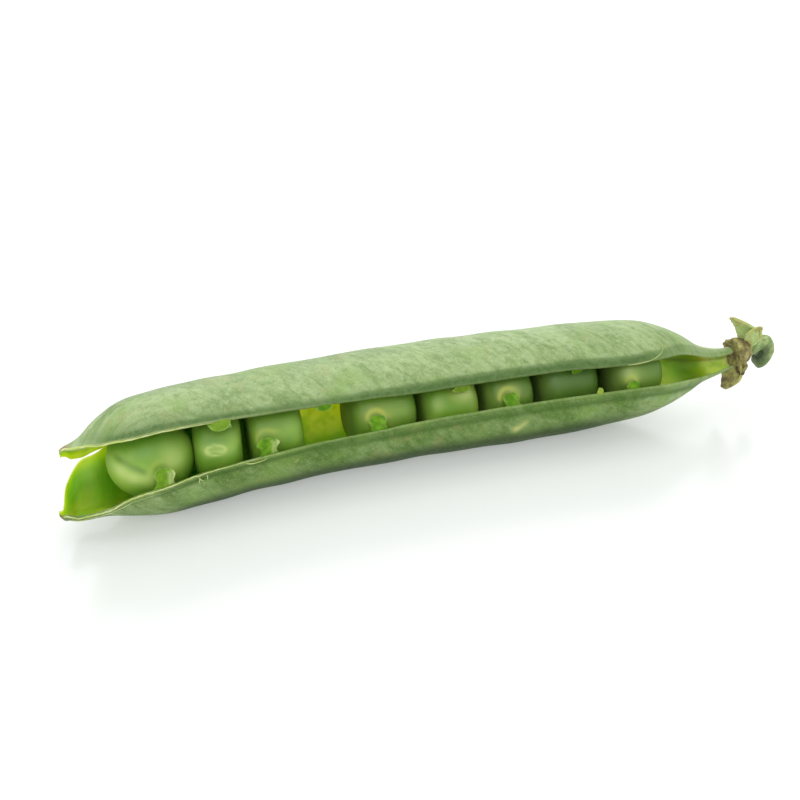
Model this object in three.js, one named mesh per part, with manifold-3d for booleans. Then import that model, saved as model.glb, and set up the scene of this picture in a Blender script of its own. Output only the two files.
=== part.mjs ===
// A garden pea pod lying on its side, split open along the seam that bears the peas.
//
// Millimetres. +X runs from the blossom tip to the stalk, the mouth opens towards -Y and a little
// up, and +Z is up. The pod rests on the flat spot under its belly, which is at z = 0, and the
// origin is in that spot, half way along the pod.
//
// The shell is two valves joined at the back by the seam rib. Across the pod each valve is part of
// an oval, from the back seam round to its own rim, and the two rims leave the mouth between them.
// Past the split near the blossom tip the valves part and each runs to a tip of its own.

import * as THREE from "three";
import { mergeVertices } from "three/addons/utils/BufferGeometryUtils.js";
import Module from "manifold-3d";

// ---------------------------------------------------------------- driving dimensions

const WALL = 0.9; // thickness of a valve
const EDGE_WALL = 0.6; // its thickness along the rims and the back seam
const EDGE_TAPER = 0.22; // share of a valve's arc over which it thins towards an edge
const LEAST_CORE = 0.35; // the hollow keeps at least this share of the oval where the tips run out
const SINK = 0.16; // how deep the belly's round is pressed flat where it rests

const TIP_START = -39.5; // x of the lower valve's tip, the end of the pod
const NECK_END = 42.2; // x where the pod's neck meets the calyx
const SPLIT_X = -33.4; // the back seam is open from here to the tip
const SEAM_GAP = 0.1; // each valve stops this far short of the seam line, and the rib joins them
const RIB_RADIUS = 0.5; // seam rib, sunk in the wall
const RIB_MOST = 0.5; // but never thicker than this share of the oval's half depth
const RIB_SINK = 0.8; // share of its radius that its middle lies under the skin
const RIB_SIDES = 8;
const PLUG_START = 40.0; // the neck is solid from here on
const PLUG_RAMP = 0.8; // the plug widens from a blunt point over this length
const PLUG_POINT_INSET = 0.9; // that point's depth under the skin
const PLUG_INSET = 0.12; // depth of the rest of the plug under the skin, well inside the wall
const PLUG_LEAST = 0.25; // least half width of the plug
const PLUG_SIDES = 12;

const LIP_SPAN = 11; // degrees of the upper valve's margin that turn down to the mouth
const LIP_DEPTH = 0.09; // how far that margin turns in, as a share of the oval
const LIP_FROM = -25; // the turned margin begins here
const LIP_FULL = -10; // and is fully turned from here on
const LIP_CURVE = 1.6; // how much of the turn is kept for the very edge

const BODY_STEP = 1.8; // spacing of the sections along the body
const TIP_STEPS = 9; // sections between the split and each tip
const TIP_CROWDING = 1.5; // the sections crowd towards the tip by this power
const ARC_STEPS = 12; // steps round each valve, from the back seam to its rim
const SEAT_GAP = 0.3; // clearance where two pieces meet

const GROUND_LENGTH = 200; // the block that presses the belly flat is bigger than the pod
const GROUND_WIDTH = 60;
const GROUND_DEPTH = 10;

// Body stations: x, centre y, centre z, half depth, half height of the oval, then three angles in
// degrees: the upper rim and the lower rim above the front of the oval, the seam below its back.
const BODY = [
  [-33.0, -2.5, 6.9, 4.85, 5.8, 48, -20, 4],
  [-28.0, -1.6, 6.7, 5.8, 6.6, 45, -5, 10],
  [-18.0, -0.4, 6.6, 6.5, 6.6, 43, 3, 14],
  [0.0, -0.3, 6.6, 6.8, 6.6, 37, 8, 14],
  [18.0, -1.8, 6.6, 6.7, 6.6, 38, 10, 14],
  [27.0, -3.2, 7.1, 6.2, 6.15, 34, 6, 14],
  [31.0, -4.3, 7.5, 5.4, 5.5, 37, 2, 14],
  [33.0, -4.8, 7.6, 4.8, 4.75, 42, 0, 14],
  [35.0, -5.3, 7.6, 3.8, 3.75, 44, -5, 13],
  [37.0, -5.7, 7.4, 2.6, 2.6, 48, -15, 12],
  [39.5, -5.9, 7.3, 1.8, 1.8, 52, -28, 10],
  [42.5, -5.8, 7.4, 1.3, 1.4, 56, -35, 10],
];

// Tip stations of one valve: the same x, centre and half sizes, then the rim above the front and
// the open back edge below the back.
const UPPER_TIP = [
  [-38.4, -4.9, 10.5, 0.5, 0.5, 75, 50],
  [-37.9, -4.7, 10.1, 1.2, 1.0, 80, 28],
  [-37.3, -4.6, 8.8, 2.4, 2.3, 80, 9],
  [-36.4, -4.2, 7.6, 3.8, 3.5, 77, 4],
  [-35.0, -2.8, 7.0, 3.9, 4.7, 55, 1],
];
const LOWER_TIP = [
  [TIP_START, -5.1, 3.9, 0.4, 0.4, 0, 0],
  [-39.1, -4.9, 3.5, 0.7, 0.7, 10, 0],
  [-38.6, -3.9, 4.0, 2.0, 1.7, -12, -12],
  [-38.0, -3.5, 4.7, 2.6, 2.9, -30, -8],
  [-37.0, -3.3, 5.4, 3.3, 3.7, -35, -11],
  [-35.0, -3.2, 6.5, 4.2, 4.65, -34, 2],
];

// Peas by their place in the pod: x of the middle, half length along the pod, round radius, how far
// the middle lies in front of the oval's and below it, and how square the pea is squeezed (1 is an
// ellipsoid, less is flatter at the ends). Place 4 has lost its pea.
const PEAS = [
  { place: 1, x: -29.4, half: 4.65, radius: 4.45, front: 0.1, below: 0.2, square: 1.0 },
  { place: 2, x: -21.9, half: 2.5, radius: 4.35, front: 0.7, below: 0.3, square: 0.54 },
  { place: 3, x: -15.75, half: 2.95, radius: 4.35, front: 0.8, below: 0.3, square: 0.54 },
  { place: 5, x: -3.3, half: 4.15, radius: 4.4, front: 0.8, below: 0.3, square: 0.62 },
  { place: 6, x: 5.0, half: 3.4, radius: 4.3, front: 0.8, below: 0.7, square: 0.54 },
  { place: 7, x: 12.2, half: 3.0, radius: 4.3, front: 0.8, below: 0.4, square: 0.54 },
  { place: 8, x: 20.1, half: 3.8, radius: 4.2, front: 0.2, below: 0.3, square: 0.54 },
  { place: 9, x: 28.6, half: 3.35, radius: 3.95, front: 0.5, below: 0.2, square: 0.64 },
];
const PEA_RINGS = 10;
const PEA_END = 0.35; // a pea's first and last rings stand in from its ends by this share of a step
const PEA_SIDES = 14;
const BULGE = 0.16; // how far a pea pushes the wall out
const BULGE_FIRST = 0.34; // the first pea is the biggest
const BULGE_REACH = 0.9; // the push dies away over this share of the pea's half length
const BULGE_FROM = 1; // there is no push where the oval's half depth is below this
const BULGE_FULL = 4; // and all of it where the half depth is above this

// Stalks that tie the peas to the rims, on the lower valve at odd places and the upper at even: the
// place, its x, and how many degrees it climbs round the pea, or, if it has let go of the pea, how
// many degrees it hangs past the rim.
const STALKS = [
  { place: 1, x: -28.7, climb: 27 },
  { place: 2, x: -22.3, hang: 10 },
  { place: 3, x: -17.3, climb: 19 },
  { place: 4, x: -10.7, hang: 1 },
  { place: 5, x: -4.9, climb: 21 },
  { place: 6, x: 5.6, climb: 16 },
  { place: 7, x: 11.2, climb: 20 },
  { place: 8, x: 19.9, climb: 13 },
  { place: 9, x: 26.9, climb: 19 },
];
const STALK_INSET = 7; // degrees from the rim to the root
const STALK_SINK = 0.5; // the root starts this deep in the wall
const STALK_WIDTH = 0.55; // half width at the root, along the pod
const STALK_FLARE = 1.05; // half width of the cup at the pea
const STALK_THICK = 0.3; // half thickness
const STALK_GAP = 0.32; // the cup stands this far off the pea
const STALK_HANG_DEPTH = 0.25; // the end of a hanging stalk lies this deep under the skin's sweep
const STALK_FLARE_FROM = 0.3; // share of its length where a stalk begins to widen to its cup
const STALK_FLARE_FULL = 0.9; // and where it has its full width
const STALK_SIDES = 8;
const STALK_STEPS = 4;

// Calyx: a cup that closes the neck, with five sepals bent back from it.
const CUP_START = NECK_END + SEAT_GAP;
const CUP_LENGTH = 2.3;
const CUP_RADIUS = 2.05; // at the mouth, which opens towards the pod
const CUP_FOOT_RADIUS = 1.15; // at the stalk end
const CUP_SIDES = 14;
const CUP_Y = -5.8;
const CUP_Z = 7.85;
// the cup's outline: radius, then how far back it lies as a share of the cup's length
const CUP_OUTLINE = [
  [CUP_RADIUS * 0.85, 0],
  [CUP_RADIUS, 0.15],
  [CUP_RADIUS * 0.92, 0.55],
  [CUP_FOOT_RADIUS * 1.2, 0.9],
  [CUP_FOOT_RADIUS * 0.8, 1],
];
const SEPAL_THICK = 0.7;
const SEPAL_EDGE = 0.85; // thickness of its margins, as a share of its midrib's
const SEPAL_STEPS = 7;
const SEPAL_FOOT = 0.9; // the sepals leave the cup this far behind its mouth
const SEPAL_ROOT = 1.1; // and start this far from its axis
const SEPAL_CUPPING = 0.18; // their margins turn back over the pod by this share of the half width
const SEPAL_ENDS = 0.65; // half width at the root, as a share of the widest
const SEPAL_SAG = 0.25; // how far the middle of a sepal bows away from the pod
const SEPAL_NARROWING = 0.45; // the tip is narrower than the root by this share
// each sepal: degrees round the cup from straight up towards the mouth, length, half width, and how
// far its tip leans back over the pod
const SEPALS = [
  { turn: -12, length: 4.6, half: 1.7, lean: 0.9 },
  { turn: 22, length: 4.5, half: 1.6, lean: -1.3 },
  { turn: -100, length: 3.3, half: 1.1, lean: -0.6 },
  { turn: 175, length: 4.7, half: 1.9, lean: 1.6 },
  { turn: 118, length: 3.8, half: 1.3, lean: 0.1 },
];

// Pedicel: the short stalk behind the calyx, hooked over and cut.
const PEDICEL_RADIUS = 1.0;
const PEDICEL_NECK = 0.8; // its radius where it leaves the calyx, as a share of the full one
const PEDICEL_FULL = 0.6; // share of its length where it has reached the full radius
const PEDICEL_SIDES = 10;
const PEDICEL_STEPS = 14;
const PEDICEL_ROUTE = [
  [CUP_START + CUP_LENGTH + SEAT_GAP + 0.6, CUP_Y, CUP_Z],
  [46.3, -5.7, 8.4],
  [47.5, -5.6, 8.4],
  [48.1, -5.6, 7.3],
  [47.5, -5.7, 6.2],
  [46.6, -5.8, 5.8],
];

// ---------------------------------------------------------------- colours

const SHELL_GREEN = new THREE.MeshStandardMaterial({ color: 0x86a860, roughness: 0.55 });
const PEA_GREEN = new THREE.MeshStandardMaterial({ color: 0x88ab4a, roughness: 0.32 });
const SEPAL_OLIVE = new THREE.MeshStandardMaterial({ color: 0x8a8150, roughness: 0.75 });
const PEDICEL_GREEN = new THREE.MeshStandardMaterial({ color: 0x5f7f45, roughness: 0.6 });

// ---------------------------------------------------------------- small helpers

const radians = THREE.MathUtils.degToRad;
const clamp = THREE.MathUtils.clamp;
const smooth = (value, from, to) => THREE.MathUtils.smoothstep(value, from, to);

// A smooth curve through a table's rows at x: each column by cubic Hermite pieces, whose slopes
// come from the neighbouring rows.
function along(table, x) {
  const last = table.length - 1;
  const secant = (i, k) => (table[i + 1][k] - table[i][k]) / (table[i + 1][0] - table[i][0]);
  const slope = (i, k) => {
    if (i === 0) return 2 * secant(0, k) - slope(1, k);
    if (i === last) return 2 * secant(last - 1, k) - slope(last - 1, k);
    const before = table[i][0] - table[i - 1][0];
    const after = table[i + 1][0] - table[i][0];
    return (secant(i - 1, k) * after + secant(i, k) * before) / (before + after);
  };
  let i = 0;
  while (i < last - 1 && x > table[i + 1][0]) i += 1;
  const step = table[i + 1][0] - table[i][0];
  const s = (x - table[i][0]) / step;
  return table[i].slice(1).map((start, column) => {
    const k = column + 1;
    return (
      start * (1 + 2 * s) * (1 - s) ** 2 +
      slope(i, k) * step * s * (1 - s) ** 2 +
      table[i + 1][k] * s * s * (3 - 2 * s) +
      slope(i + 1, k) * step * s * s * (s - 1)
    );
  });
}

// A closed body from a stack of rings with the same number of points, with both ends capped.
function loft(rings) {
  const sides = rings[0].length;
  const points = rings.flat();
  const faces = [];
  for (let i = 0; i < rings.length - 1; i += 1) {
    for (let j = 0; j < sides; j += 1) {
      const next = (j + 1) % sides;
      const [a, b] = [i * sides + j, i * sides + next];
      faces.push(a, b, b + sides, a, b + sides, a + sides);
    }
  }
  const end = (rings.length - 1) * sides;
  for (let j = 1; j < sides - 1; j += 1) {
    faces.push(0, j + 1, j, end, end + j, end + j + 1);
  }
  return solidGeometry(points, faces);
}

// A closed sheet between two grids of points, outer[i][j] and inner[i][j].
function sheet(outer, inner) {
  const rows = outer.length;
  const columns = outer[0].length;
  const points = [...outer.flat(), ...inner.flat()];
  const out = (i, j) => i * columns + j;
  const back = (i, j) => rows * columns + out(i, j);
  const faces = [];
  const quad = (a, b, c, d) => faces.push(a, b, c, a, c, d);
  for (let i = 0; i < rows - 1; i += 1) {
    for (let j = 0; j < columns - 1; j += 1) {
      quad(out(i, j), out(i, j + 1), out(i + 1, j + 1), out(i + 1, j));
      quad(back(i, j), back(i + 1, j), back(i + 1, j + 1), back(i, j + 1));
    }
    quad(out(i, 0), out(i + 1, 0), back(i + 1, 0), back(i, 0));
    quad(out(i, columns - 1), back(i, columns - 1), back(i + 1, columns - 1), out(i + 1, columns - 1));
  }
  for (let j = 0; j < columns - 1; j += 1) {
    quad(out(0, j), back(0, j), back(0, j + 1), out(0, j + 1));
    quad(out(rows - 1, j), out(rows - 1, j + 1), back(rows - 1, j + 1), back(rows - 1, j));
  }
  return solidGeometry(points, faces);
}

// An indexed geometry whose faces are turned outward if its signed volume says they point in.
function solidGeometry(points, faces) {
  let volume = 0;
  for (let i = 0; i < faces.length; i += 3) {
    const [a, b, c] = [points[faces[i]], points[faces[i + 1]], points[faces[i + 2]]];
    volume += a.dot(new THREE.Vector3().crossVectors(b, c));
  }
  if (volume < 0) faces.reverse();
  const geometry = new THREE.BufferGeometry().setFromPoints(points);
  geometry.setIndex(faces);
  return geometry;
}

// ---------------------------------------------------------------- joining and cutting

const wasm = await Module();
wasm.setup();

function toSolid(geometry) {
  const bare = geometry.clone();
  bare.deleteAttribute("normal");
  bare.deleteAttribute("uv");
  const merged = mergeVertices(bare, 1e-5);
  return new wasm.Manifold(
    new wasm.Mesh({
      numProp: 3,
      vertProperties: new Float32Array(merged.attributes.position.array),
      triVerts: new Uint32Array(merged.index.array),
    }),
  );
}

function toGeometry(solid) {
  const mesh = solid.getMesh();
  const geometry = new THREE.BufferGeometry();
  geometry.setAttribute("position", new THREE.BufferAttribute(mesh.vertProperties, 3));
  geometry.setIndex(new THREE.BufferAttribute(mesh.triVerts, 1));
  geometry.computeVertexNormals();
  return geometry;
}

const fuse = (geometries) => geometries.map(toSolid).reduce((whole, next) => whole.add(next));

// ---------------------------------------------------------------- the shell

const UPPER = { tip: UPPER_TIP, rimColumn: 5, side: 1 };
const LOWER = { tip: LOWER_TIP, rimColumn: 6, side: -1 };

// One valve's own table: its tip, then the body with this valve's rim.
const valveTable = (valve) => [
  ...valve.tip,
  ...BODY.map((row) => [...row.slice(0, 5), row[valve.rimColumn], row[7]]),
];

function bulge(x) {
  return PEAS.reduce((sum, pea) => {
    const size = pea.place === 1 ? BULGE_FIRST : BULGE;
    return sum + size * Math.exp(-(((x - pea.x) / (pea.half * BULGE_REACH)) ** 2));
  }, 0);
}

// The oval of a valve at x, with the angles of its back edge and of its rim. Angles run from the
// back (0) over the top of the upper valve, or under the belly of the lower one, to the front (180).
function oval(valve, table, x) {
  const [y, z, depth, height, rim, seam] = along(table, x);
  const swell = bulge(x) * smooth(depth, BULGE_FROM, BULGE_FULL);
  return {
    y,
    z: z - SINK,
    depth: depth + swell,
    height: height + swell,
    from: -seam * valve.side,
    to: 180 - rim * valve.side,
  };
}

// How much the upper valve's margin is drawn in at an angle, as a share of the oval.
function lip(valve, section, x, angle) {
  if (valve !== UPPER) return 0;
  const turned = clamp((angle - section.to + LIP_SPAN) / LIP_SPAN, 0, 1);
  return LIP_DEPTH * smooth(x, LIP_FROM, LIP_FULL) * turned ** LIP_CURVE;
}

// A point of the valve at an angle, so deep under its outer skin.
function skinPoint(valve, section, x, angle, depth) {
  const turn = radians(angle) * valve.side;
  const share = 1 - lip(valve, section, x, angle);
  const size = (half) => Math.max(half * share - depth, half * LEAST_CORE);
  return new THREE.Vector3(
    x,
    section.y + size(section.depth) * Math.cos(turn),
    section.z + size(section.height) * Math.sin(turn),
  );
}

// The x of each section from the split to the end of the neck.
function bodyPlaces() {
  const steps = Math.round((NECK_END - SPLIT_X) / BODY_STEP);
  return Array.from({ length: steps + 1 }, (_, i) => SPLIT_X + ((NECK_END - SPLIT_X) * i) / steps);
}

// The x of each section from a tip to the split, closer together towards the tip.
function tipPlaces(tipX) {
  const share = (i) => (i / TIP_STEPS) ** TIP_CROWDING;
  return Array.from({ length: TIP_STEPS }, (_, i) => tipX + (SPLIT_X - tipX) * share(i));
}

function valveGeometry(valve) {
  const table = valveTable(valve);
  const outer = [];
  const inner = [];
  for (const x of [...tipPlaces(table[0][0]), ...bodyPlaces()]) {
    const section = oval(valve, table, x);
    const stop = THREE.MathUtils.radToDeg(SEAM_GAP / section.depth);
    const start = section.from + stop;
    outer.push([]);
    inner.push([]);
    for (let j = 0; j <= ARC_STEPS; j += 1) {
      const share = j / ARC_STEPS;
      const angle = start + (section.to - start) * share;
      const fullness = smooth(Math.min(share, 1 - share), 0, EDGE_TAPER);
      const wall = EDGE_WALL + (WALL - EDGE_WALL) * fullness;
      outer.at(-1).push(skinPoint(valve, section, x, angle, 0));
      inner.at(-1).push(skinPoint(valve, section, x, angle, wall));
    }
  }
  return sheet(outer, inner);
}

// A ring of points round a centre in the plane across the pod.
function crossRing(centre, halfDepth, halfHeight, sides) {
  return Array.from({ length: sides }, (_, j) => {
    const turn = (2 * Math.PI * j) / sides;
    const spread = new THREE.Vector3(0, halfDepth * Math.cos(turn), halfHeight * Math.sin(turn));
    return spread.add(centre);
  });
}

// The rib that joins the valves along the back seam.
function seamRib() {
  const table = valveTable(UPPER);
  const rings = bodyPlaces().map((x) => {
    const section = oval(UPPER, table, x);
    const radius = Math.min(RIB_RADIUS, section.depth * RIB_MOST);
    const centre = skinPoint(UPPER, section, x, section.from, radius * RIB_SINK);
    return crossRing(centre, radius, radius, RIB_SIDES);
  });
  return loft(rings);
}

// The solid end of the neck, which fills the last of the hollow.
function neckPlug() {
  const table = valveTable(UPPER);
  const places = [PLUG_START, PLUG_START + PLUG_RAMP, NECK_END - PLUG_RAMP, NECK_END];
  const rings = places.map((x, i) => {
    const section = oval(UPPER, table, x);
    const inset = i === 0 ? PLUG_POINT_INSET : PLUG_INSET;
    const centre = new THREE.Vector3(x, section.y, section.z);
    const halfDepth = Math.max(section.depth - inset, PLUG_LEAST);
    const halfHeight = Math.max(section.height - inset, PLUG_LEAST);
    return crossRing(centre, halfDepth, halfHeight, PLUG_SIDES);
  });
  return loft(rings);
}

// ---------------------------------------------------------------- the peas

function peaCentre(pea) {
  const [y, z] = along(BODY, pea.x);
  return new THREE.Vector3(pea.x, y - pea.front, z - SINK - pea.below);
}

function peaGeometry(pea) {
  const power = (value) => Math.sign(value) * Math.abs(value) ** pea.square;
  const centre = peaCentre(pea);
  const rings = [];
  for (let i = 0; i <= PEA_RINGS; i += 1) {
    const turn = (Math.PI * (i + PEA_END)) / (PEA_RINGS + 2 * PEA_END);
    const middle = centre.clone().setX(centre.x - pea.half * power(Math.cos(turn)));
    const radius = pea.radius * power(Math.sin(turn));
    rings.push(crossRing(middle, radius, radius, PEA_SIDES));
  }
  return loft(rings);
}

// The pea's round radius at x, from its middle to its side.
function peaWaist(pea, x) {
  const share = Math.min(Math.abs(x - pea.x) / pea.half, 1) ** (2 / pea.square);
  return pea.radius * (1 - share) ** (pea.square / 2);
}

// A stalk from the inside of a rim: round the pea's front to the cup that holds it, or, where it has
// let go, a short way past the rim and across the mouth.
function stalkGeometry(stalk) {
  const valve = stalk.place % 2 === 1 ? LOWER : UPPER;
  const section = oval(valve, valveTable(valve), stalk.x);
  const root = skinPoint(valve, section, stalk.x, section.to - STALK_INSET, STALK_SINK);
  let end = null;
  if (stalk.hang) {
    end = skinPoint(valve, section, stalk.x, section.to + stalk.hang, STALK_HANG_DEPTH);
  } else {
    const pea = PEAS.find((one) => one.place === stalk.place);
    const centre = peaCentre(pea).setX(stalk.x);
    const turn = radians(stalk.climb * valve.side);
    const nearer = stalk.x + clamp(pea.x - stalk.x, -STALK_FLARE, STALK_FLARE);
    end = root.clone().sub(centre).applyAxisAngle(new THREE.Vector3(1, 0, 0), turn);
    end.setLength(peaWaist(pea, nearer) + STALK_GAP + STALK_THICK).add(centre);
  }
  const way = new THREE.Vector3().subVectors(end, root);
  const wide = new THREE.Vector3(1, 0, 0);
  const thick = new THREE.Vector3().crossVectors(way, wide).normalize();
  const rings = [];
  for (let i = 0; i <= STALK_STEPS; i += 1) {
    const share = i / STALK_STEPS;
    const flare = smooth(share, STALK_FLARE_FROM, STALK_FLARE_FULL);
    const half = STALK_WIDTH + (STALK_FLARE - STALK_WIDTH) * flare;
    const middle = root.clone().addScaledVector(way, share);
    rings.push(
      Array.from({ length: STALK_SIDES }, (_, j) => {
        const turn = (2 * Math.PI * j) / STALK_SIDES;
        return middle
          .clone()
          .addScaledVector(wide, half * Math.cos(turn))
          .addScaledVector(thick, STALK_THICK * Math.sin(turn));
      }),
    );
  }
  return loft(rings);
}

// ---------------------------------------------------------------- calyx and pedicel

function calyxCup() {
  const outline = [[0, 0], ...CUP_OUTLINE, [0, 1]];
  const cup = new THREE.LatheGeometry(
    outline.map(([radius, share]) => new THREE.Vector2(radius, CUP_LENGTH * share)),
    CUP_SIDES,
  );
  cup.rotateZ(-Math.PI / 2);
  cup.translate(CUP_START, CUP_Y, CUP_Z);
  return cup;
}

// One sepal: a pointed leaf that leaves the cup sideways and leans along the pod at its tip.
function sepalGeometry({ turn, length, half, lean }) {
  const up = new THREE.Vector3(0, -Math.sin(radians(turn)), Math.cos(radians(turn)));
  const across = new THREE.Vector3(0, Math.cos(radians(turn)), Math.sin(radians(turn)));
  const forward = new THREE.Vector3(-1, 0, 0);
  const foot = new THREE.Vector3(CUP_START + SEPAL_FOOT, CUP_Y, CUP_Z);
  const rings = [];
  for (let i = 0; i <= SEPAL_STEPS; i += 1) {
    const share = i / SEPAL_STEPS;
    const bow = Math.sin(Math.PI * share);
    const width = half * (SEPAL_ENDS + (1 - SEPAL_ENDS) * bow) * (1 - SEPAL_NARROWING * share ** 6);
    const reach = SEPAL_ROOT + (length - SEPAL_ROOT) * share;
    const bend = lean * share ** 2 - SEPAL_SAG * bow;
    const spine = foot.clone().addScaledVector(up, reach).addScaledVector(forward, bend);
    rings.push(
      [
        [-1, SEPAL_EDGE],
        [0, 1],
        [1, SEPAL_EDGE],
        [1, -SEPAL_EDGE],
        [0, -1],
        [-1, -SEPAL_EDGE],
      ].map(([side, rise]) =>
        spine
          .clone()
          .addScaledVector(across, side * width)
          .addScaledVector(forward, (rise * SEPAL_THICK) / 2 + SEPAL_CUPPING * width * Math.abs(side)),
      ),
    );
  }
  return loft(rings);
}

function pedicelGeometry() {
  const route = new THREE.CatmullRomCurve3(PEDICEL_ROUTE.map((p) => new THREE.Vector3(...p)));
  const frames = route.computeFrenetFrames(PEDICEL_STEPS, false);
  const rings = [];
  for (let i = 0; i <= PEDICEL_STEPS; i += 1) {
    const middle = route.getPointAt(i / PEDICEL_STEPS);
    const full = smooth(i / PEDICEL_STEPS, 0, PEDICEL_FULL);
    const radius = PEDICEL_RADIUS * (PEDICEL_NECK + (1 - PEDICEL_NECK) * full);
    rings.push(
      Array.from({ length: PEDICEL_SIDES }, (_, j) => {
        const turn = (2 * Math.PI * j) / PEDICEL_SIDES;
        return middle
          .clone()
          .addScaledVector(frames.normals[i], radius * Math.cos(turn))
          .addScaledVector(frames.binormals[i], radius * Math.sin(turn));
      }),
    );
  }
  return loft(rings);
}

// ---------------------------------------------------------------- assembly

const group = new THREE.Group();

function place(name, geometry, material) {
  const mesh = new THREE.Mesh(geometry, material);
  mesh.name = name;
  group.add(mesh);
}

// all that the belly would have under the ground
const belowGround = new THREE.BoxGeometry(GROUND_LENGTH, GROUND_WIDTH, GROUND_DEPTH);
belowGround.translate(0, 0, -GROUND_DEPTH / 2);
const shell = fuse([
  valveGeometry(UPPER),
  valveGeometry(LOWER),
  seamRib(),
  neckPlug(),
  ...STALKS.map(stalkGeometry),
]).subtract(toSolid(belowGround));

place("pod_shell", toGeometry(shell), SHELL_GREEN);
for (const pea of PEAS) place(`pea_${pea.place}`, peaGeometry(pea), PEA_GREEN);
place("calyx", toGeometry(fuse([calyxCup(), ...SEPALS.map(sepalGeometry)])), SEPAL_OLIVE);
place("pedicel", pedicelGeometry(), PEDICEL_GREEN);

export default group;
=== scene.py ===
import math
from collections import namedtuple

import bmesh
import bpy
import numpy as np
from mathutils import Matrix, Vector, noise


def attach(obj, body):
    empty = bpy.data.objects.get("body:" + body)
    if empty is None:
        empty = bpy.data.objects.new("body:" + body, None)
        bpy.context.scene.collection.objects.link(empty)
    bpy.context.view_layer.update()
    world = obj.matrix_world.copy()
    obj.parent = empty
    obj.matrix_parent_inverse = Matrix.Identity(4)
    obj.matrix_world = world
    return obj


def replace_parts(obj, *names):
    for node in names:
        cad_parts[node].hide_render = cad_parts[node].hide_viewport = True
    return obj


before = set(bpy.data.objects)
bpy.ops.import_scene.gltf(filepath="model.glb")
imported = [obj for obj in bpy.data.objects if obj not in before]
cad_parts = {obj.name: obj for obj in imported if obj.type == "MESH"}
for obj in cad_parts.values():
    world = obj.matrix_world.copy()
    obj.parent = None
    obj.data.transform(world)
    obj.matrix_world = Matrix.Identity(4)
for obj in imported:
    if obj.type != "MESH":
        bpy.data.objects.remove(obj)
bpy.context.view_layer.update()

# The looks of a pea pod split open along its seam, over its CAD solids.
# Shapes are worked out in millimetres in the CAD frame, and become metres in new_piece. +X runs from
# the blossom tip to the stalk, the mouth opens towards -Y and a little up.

MM = 0.001
UPPER, LOWER = 1, -1

# ------------------------ the pod's dimensions

TIP_START = -39.5  # x of the lower valve's tip
NECK_END = 42.2  # x where the neck meets the calyx
SPLIT_X = -33.4  # the back seam is open from here to the tip
SINK = 0.16  # how deep the belly is pressed flat where it rests
WALL = 0.9  # thickness of a valve
RIM_WALL = 0.34  # its thickness at its edges
EDGE_TAPER = 2.4  # it thins towards an edge over this many millimetres
EMPTY_THINNING = 0.45  # share of its thickness that it lacks where the pea is missing
LEAST_CORE = 0.35  # the hollow keeps at least this share of the oval where the tips run out
LIP_SPAN = 11  # degrees of the upper valve's margin that turn down to the mouth
LIP_DEPTH = 0.09  # how far that margin turns in, as a share of the oval
LIP_CURVE = 1.4  # how much of the turn is kept for the very edge
BULGE = 0.14  # how far a pea pushes the wall out
BULGE_FIRST = 0.34  # the first pea is the biggest
BULGE_REACH = 0.9  # the push dies away over this share of the pea's half length

# x, centre y, centre z, half depth, half height, upper rim, lower rim, seam (angles in degrees)
BODY = [
    (-33.0, -2.5, 6.9, 4.85, 5.8, 48, -20, 4),
    (-28.0, -1.6, 6.7, 5.8, 6.6, 45, -5, 10),
    (-18.0, -0.4, 6.6, 6.5, 6.6, 43, 3, 14),
    (0.0, -0.3, 6.6, 6.8, 6.6, 37, 8, 14),
    (18.0, -1.8, 6.6, 6.7, 6.6, 38, 10, 14),
    (27.0, -3.2, 7.1, 6.2, 6.15, 34, 6, 14),
    (31.0, -4.3, 7.5, 5.4, 5.5, 37, 2, 14),
    (33.0, -4.8, 7.6, 4.8, 4.75, 42, 0, 14),
    (35.0, -5.3, 7.6, 3.8, 3.75, 44, -5, 13),
    (37.0, -5.7, 7.4, 2.6, 2.6, 48, -15, 12),
    (39.5, -5.9, 7.3, 1.8, 1.8, 52, -28, 10),
    (42.5, -5.8, 7.4, 1.3, 1.4, 56, -35, 10),
]
# x, centre y, centre z, half depth, half height, rim, open back edge
UPPER_TIP = [
    (-38.4, -4.9, 10.5, 0.5, 0.5, 75, 50),
    (-37.9, -4.7, 10.1, 1.2, 1.0, 80, 28),
    (-37.3, -4.6, 8.8, 2.4, 2.3, 80, 9),
    (-36.4, -4.2, 7.6, 3.8, 3.5, 77, 4),
    (-35.0, -2.8, 7.0, 3.9, 4.7, 55, 1),
]
LOWER_TIP = [
    (TIP_START, -5.1, 3.9, 0.4, 0.4, 0, 0),
    (-39.1, -4.9, 3.5, 0.7, 0.7, 10, 0),
    (-38.6, -3.9, 4.0, 2.0, 1.7, -12, -12),
    (-38.0, -3.5, 4.7, 2.6, 2.9, -30, -8),
    (-37.0, -3.3, 5.4, 3.3, 3.7, -35, -11),
    (-35.0, -3.2, 6.5, 4.2, 4.65, -34, 2),
]
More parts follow.
